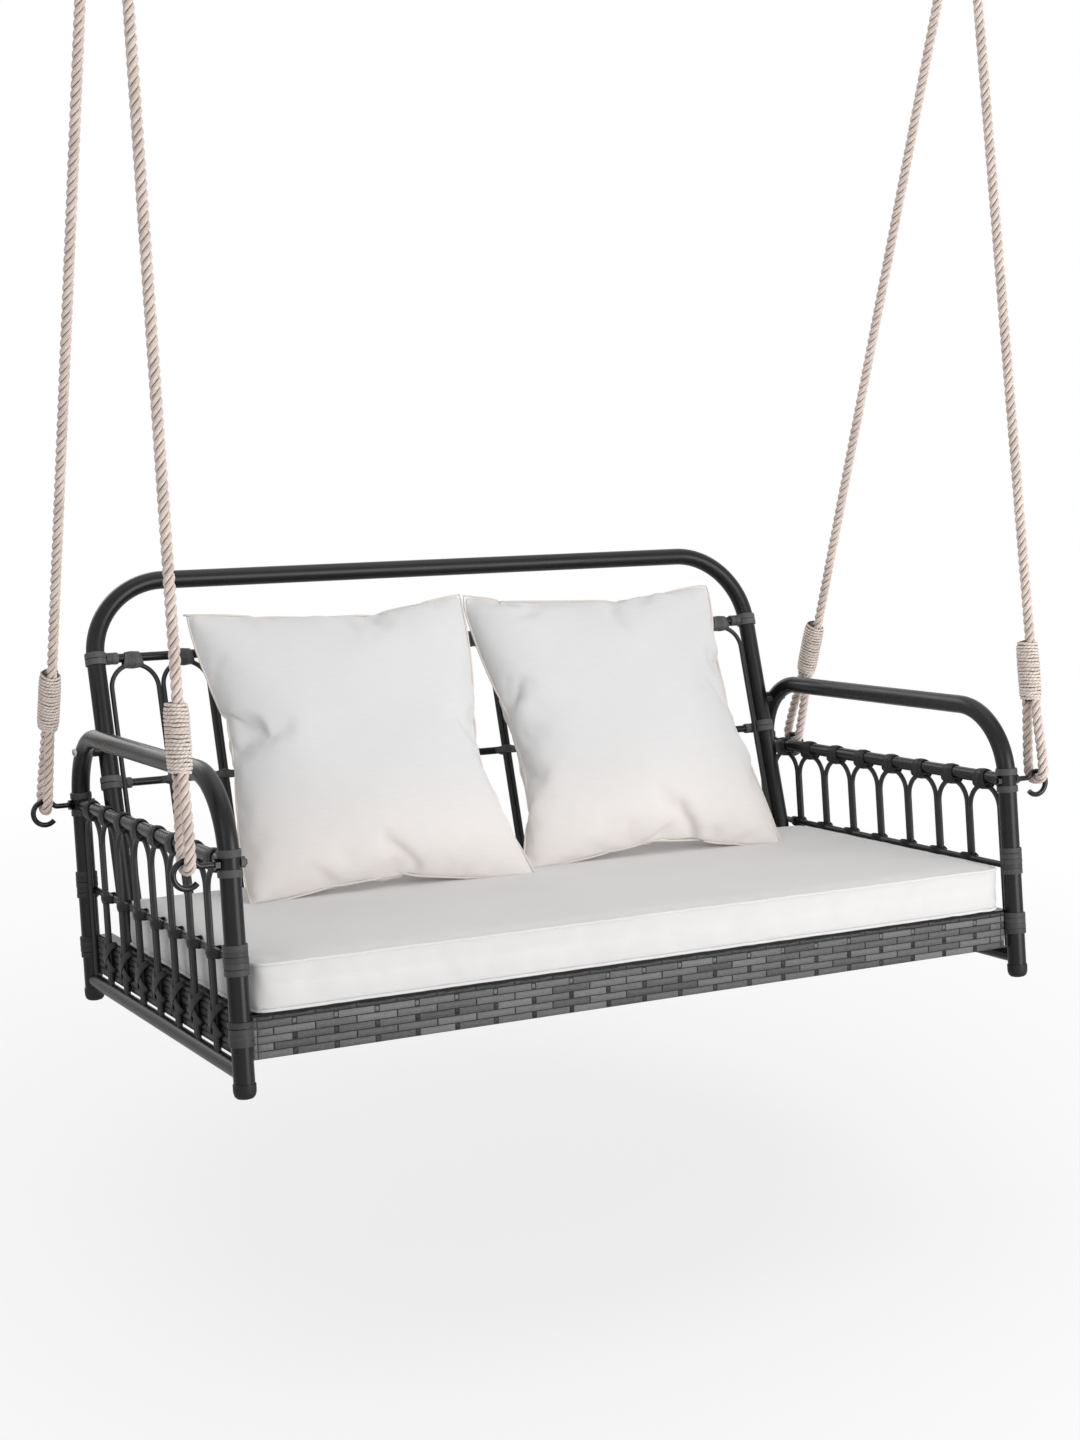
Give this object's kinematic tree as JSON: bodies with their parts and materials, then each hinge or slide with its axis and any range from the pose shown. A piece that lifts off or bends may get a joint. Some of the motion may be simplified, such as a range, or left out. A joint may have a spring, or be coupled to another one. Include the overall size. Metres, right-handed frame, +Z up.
{
  "type": "porch swing seat",
  "caption": "Hanging two-seat porch swing with hooped steel sides and back, wicker apron, rope slings on ceiling fittings, a seat cushion and loose pillows.",
  "frame": {"origin": "centre of the four screw holes of the two ceiling plates, on the ceiling plane", "axes": "+Z up, +X to the sitter's left seen from the front as right, -Y towards the front of the seat"},
  "size_m": [1.424, 0.8545, 1.8907],
  "materials": {
    "frame_black": "satin powder coat",
    "hook_black": "gloss enamel",
    "zinc_steel": "zinc plated",
    "wicker_grey": "woven resin strand",
    "strap_black": "webbing",
    "cap_black": "moulded",
    "rope_cream": "three-strand laid rope",
    "twine_cream": "wound twine",
    "cushion_white": "outdoor canvas"
  },
  "bodies": {
    "ceiling_fittings": {"ceiling_eyes": "frame_black", "ceiling_plates": "frame_black"},
    "rings": {"hanging_rings": "frame_black"},
    "left_ropes": {"left_front_rope": "rope_cream", "left_front_whippings": "twine_cream", "left_rear_rope": "rope_cream", "left_rear_whippings": "twine_cream"},
    "seat": {"arm_bolts": "zinc_steel", "arm_nuts": "zinc_steel", "arm_spacers": "frame_black", "back_hoops": "frame_black", "back_lower_rail": "frame_black", "back_rail_ties": "wicker_grey", "back_tube": "frame_black", "back_upper_rail": "frame_black", "back_upright_wraps": "wicker_grey", "foot_caps": "cap_black", "front_apron": "wicker_grey", "hook_nuts": "zinc_steel", "left_foot_rail": "frame_black", "left_hoop_rail": "frame_black", "left_leg_wraps": "wicker_grey", "left_middle_rail": "frame_black", "left_rail_ties": "wicker_grey", "left_side_apron": "wicker_grey", "left_side_hoops": "frame_black", "left_side_tube": "frame_black", "right_foot_rail": "frame_black", "right_hoop_rail": "frame_black", "right_leg_wraps": "wicker_grey", "right_middle_rail": "frame_black", "right_rail_ties": "wicker_grey", "right_side_apron": "wicker_grey", "right_side_hoops": "frame_black", "right_side_tube": "frame_black", "rope_hooks": "hook_black", "seat_cross_bars": "frame_black", "seat_front_rail": "frame_black", "seat_rear_rail": "frame_black", "seat_side_rails": "frame_black", "seat_straps": "strap_black"},
    "right_ropes": {"right_front_rope": "rope_cream", "right_front_whippings": "twine_cream", "right_rear_rope": "rope_cream", "right_rear_whippings": "twine_cream"},
    "seat_cushion": {"seat_cushion": "cushion_white"},
    "left_pillow": {"left_pillow": "cushion_white"},
    "right_pillow": {"right_pillow": "cushion_white"}
  },
  "joints": [
    {"name": "swing", "type": "hinge", "parent": "ceiling_fittings", "child": "rings", "pos_m": [0, 0, -0.0267], "axis": [1, 0, 0], "range_deg": [-20, 20]},
    {"name": "sway", "type": "hinge", "parent": "rings", "child": "left_ropes", "pos_m": [-0.679, 0, -0.0557], "axis": [0, 0.9848, -0.1736], "range_deg": [-8, 8]},
    {"name": "left_hook_pivot", "type": "hinge", "parent": "left_ropes", "child": "seat", "pos_m": [-0.682, -0.06303, -1.54685], "axis": [0, 0.9848, -0.1736], "range_deg": [-8, 8]},
    {"name": "right_hook_pivot", "type": "hinge", "parent": "seat", "child": "right_ropes", "pos_m": [0.682, -0.06303, -1.54685], "axis": [0, 0.9848, -0.1736], "range_deg": [-8, 8]},
    {"name": "cushion_lift", "type": "slide", "parent": "seat", "child": "seat_cushion", "axis": [0, 0.1736, 0.9848], "range_m": [0, 0.12]},
    {"name": "left_pillow_lift", "type": "slide", "parent": "seat_cushion", "child": "left_pillow", "axis": [0, 0.4368, 0.8996], "range_m": [0, 0.3]},
    {"name": "right_pillow_lift", "type": "slide", "parent": "seat_cushion", "child": "right_pillow", "axis": [0, 0.4368, 0.8996], "range_m": [0, 0.3]}
  ],
  "couplings": [
    {"joint": "left_hook_pivot", "follows": "sway", "ratio": -1},
    {"joint": "right_hook_pivot", "follows": "sway", "ratio": 1}
  ]
}
